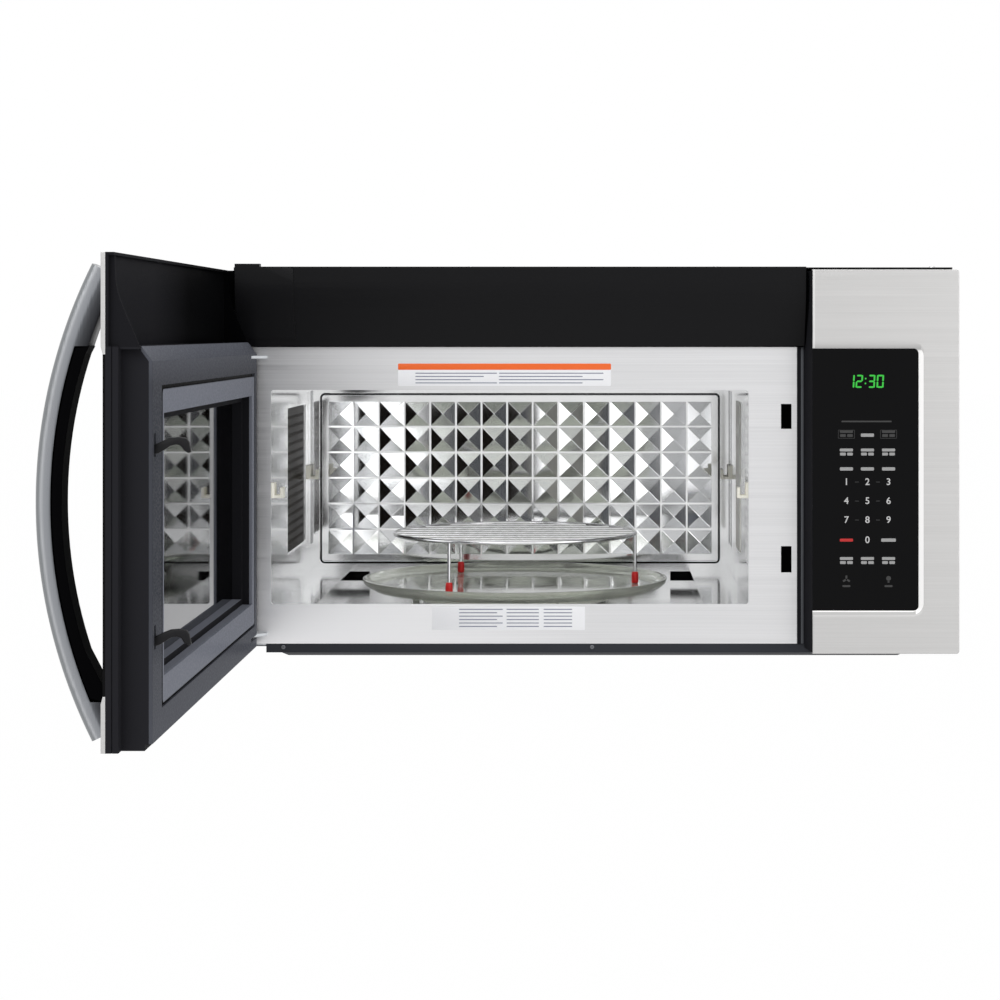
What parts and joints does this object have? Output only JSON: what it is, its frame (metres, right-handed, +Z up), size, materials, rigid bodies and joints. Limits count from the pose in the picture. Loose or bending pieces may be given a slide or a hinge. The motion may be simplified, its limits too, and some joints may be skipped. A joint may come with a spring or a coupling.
{
  "type": "over the range microwave oven",
  "caption": "Over the range microwave with side-hinged door, pressed steel cavity, glass turntable, rack, control panel and exhaust blower.",
  "frame": {"origin": "centre of the rear panel, on the wall plane", "axes": "+Y into the wall, +Z up, +X to the right seen from the front; the front faces -Y"},
  "size_m": [0.8285, 0.9958, 0.414],
  "materials": {
    "case_paint": "satin",
    "galvanised": "satin",
    "stainless": "brushed",
    "oven_steel": "polished",
    "black_plastic": "satin",
    "pan_paint": "satin",
    "choke_paint": "satin",
    "black_glass": "gloss",
    "tray_glass": "gloss",
    "pane_glass": "gloss",
    "mica": "matte",
    "support_plastic": "satin",
    "foot_rubber": "satin",
    "coupler_plastic": "satin",
    "board": "matte",
    "display": "gloss",
    "lamp": "gloss",
    "charcoal": "matte",
    "aluminium": "satin",
    "copper_core": "matte",
    "spring_steel": "polished",
    "wire": "polished"
  },
  "bodies": {
    "chassis": {"outer_case": "case_paint", "rear_panel": "galvanised", "mounting_nuts": "galvanised", "cord_gland": "black_plastic", "front_plate": "stainless", "cavity_left_wall": "oven_steel", "cavity_right_wall": "oven_steel", "waveguide_cover": "mica", "cavity_ceiling": "oven_steel", "cavity_floor": "oven_steel", "cavity_back_wall": "oven_steel", "rack_supports": "support_plastic", "vent_panel": "black_plastic", "hinge_cover": "black_plastic", "charcoal_filter": "charcoal", "hinge_brackets": "galvanised", "control_fascia": "stainless", "control_glass": "black_glass", "control_housing": "black_plastic", "display_module": "display", "control_board": "board", "interlock_switches": "black_plastic", "waveguide": "galvanised", "magnetron": "aluminium", "high_voltage_supply": "copper_core", "cooling_fan_frame": "black_plastic", "oven_lamp": "lamp", "convection_housing": "galvanised", "convection_heater": "copper_core", "blower_housing": "galvanised", "duct_frame": "galvanised", "bottom_pan": "pan_paint", "cooktop_lamp": "lamp", "pan_screws": "spring_steel", "turntable_motor": "galvanised"},
    "latch": {"latch_bar": "black_plastic"},
    "cooling_fan": {"cooling_fan": "coupler_plastic"},
    "convection_fan": {"convection_fan": "aluminium"},
    "blower_wheels": {"blower_wheels": "galvanised"},
    "damper_flap": {"damper_flap": "galvanised"},
    "grease_filter_left": {"grease_filter_left": "aluminium"},
    "grease_filter_right": {"grease_filter_right": "aluminium"},
    "lamp_cover": {"lamp_cover": "lamp"},
    "turntable_coupler": {"turntable_coupler": "coupler_plastic"},
    "roller_ring": {"roller_ring": "coupler_plastic"},
    "roller_1": {"roller_1": "coupler_plastic"},
    "roller_2": {"roller_2": "coupler_plastic"},
    "roller_3": {"roller_3": "coupler_plastic"},
    "glass_tray": {"glass_tray": "tray_glass"},
    "rack": {"wire_rack": "wire", "rack_feet": "foot_rubber"},
    "door": {"door_skin": "stainless", "door_glass": "black_glass", "door_frame": "black_plastic", "door_inner_frame": "choke_paint", "door_inner_glass": "pane_glass", "door_screen": "case_paint", "handle_bar": "stainless", "handle_strip": "black_plastic", "latch_spring": "spring_steel"}
  },
  "joints": [
    {"name": "door_hinge", "type": "hinge", "parent": "chassis", "child": "door", "pos_m": [-0.374, -0.396, 0], "axis": [0, 0, 1], "range_deg": [-12, 90]},
    {"name": "latch_slide", "type": "slide", "parent": "door", "child": "latch", "axis": [0, 0, 1], "range_m": [0, 0.004], "stiffness_N_per_m": 300, "springref_m": -0.005, "deforming": ["latch_spring"]},
    {"name": "turntable_spin", "type": "hinge", "parent": "chassis", "child": "turntable_coupler", "pos_m": [-0.0877, -0.194, -0.165], "axis": [0, 0, 1], "continuous": true},
    {"name": "roller_ring_spin", "type": "hinge", "parent": "chassis", "child": "roller_ring", "pos_m": [-0.0877, -0.194, -0.1648], "axis": [0, 0, 1], "continuous": true},
    {"name": "tray_lift", "type": "slide", "parent": "turntable_coupler", "child": "glass_tray", "axis": [0, 0, 1], "range_m": [0, 0.025]},
    {"name": "rack_lift", "type": "slide", "parent": "glass_tray", "child": "rack", "axis": [0, 0, 1], "range_m": [0, 0.06]},
    {"name": "cooling_fan_spin", "type": "hinge", "parent": "chassis", "child": "cooling_fan", "pos_m": [0.285, -0.024, 0.04], "axis": [0, -1, 0], "continuous": true},
    {"name": "convection_fan_spin", "type": "hinge", "parent": "chassis", "child": "convection_fan", "pos_m": [-0.0877, -0.285, 0.092], "axis": [0, 0, 1], "continuous": true},
    {"name": "blower_spin", "type": "hinge", "parent": "chassis", "child": "blower_wheels", "pos_m": [0, -0.06875, 0.128], "axis": [1, 0, 0], "continuous": true},
    {"name": "damper_hinge", "type": "hinge", "parent": "chassis", "child": "damper_flap", "pos_m": [0, -0.0315, 0.1905], "axis": [-1, 0, 0], "range_deg": [0, 75]},
    {"name": "left_filter_hinge", "type": "hinge", "parent": "chassis", "child": "grease_filter_left", "pos_m": [-0.19, -0.247, -0.2087], "axis": [-1, 0, 0], "range_deg": [0, 60]},
    {"name": "right_filter_hinge", "type": "hinge", "parent": "chassis", "child": "grease_filter_right", "pos_m": [0.19, -0.247, -0.2087], "axis": [-1, 0, 0], "range_deg": [0, 60]},
    {"name": "lamp_cover_hinge", "type": "hinge", "parent": "chassis", "child": "lamp_cover", "pos_m": [0, -0.322, -0.2087], "axis": [-1, 0, 0], "range_deg": [0, 80]},
    {"name": "roller_1_spin", "type": "hinge", "parent": "roller_ring", "child": "roller_1", "pos_m": [-0.03195, -0.09744, -0.1648], "axis": [0.5, 0.866, 0], "continuous": true},
    {"name": "roller_2_spin", "type": "hinge", "parent": "roller_ring", "child": "roller_2", "pos_m": [-0.1992, -0.194, -0.1648], "axis": [-1, 0, 0], "continuous": true},
    {"name": "roller_3_spin", "type": "hinge", "parent": "roller_ring", "child": "roller_3", "pos_m": [-0.03195, -0.29056, -0.1648], "axis": [0.5, -0.866, 0], "continuous": true}
  ],
  "couplings": [
    {"joint": "roller_ring_spin", "follows": "turntable_spin", "ratio": 0.5},
    {"joint": "roller_1_spin", "follows": "turntable_spin", "ratio": -7.1019},
    {"joint": "roller_2_spin", "follows": "turntable_spin", "ratio": -7.1019},
    {"joint": "roller_3_spin", "follows": "turntable_spin", "ratio": -7.1019}
  ]
}
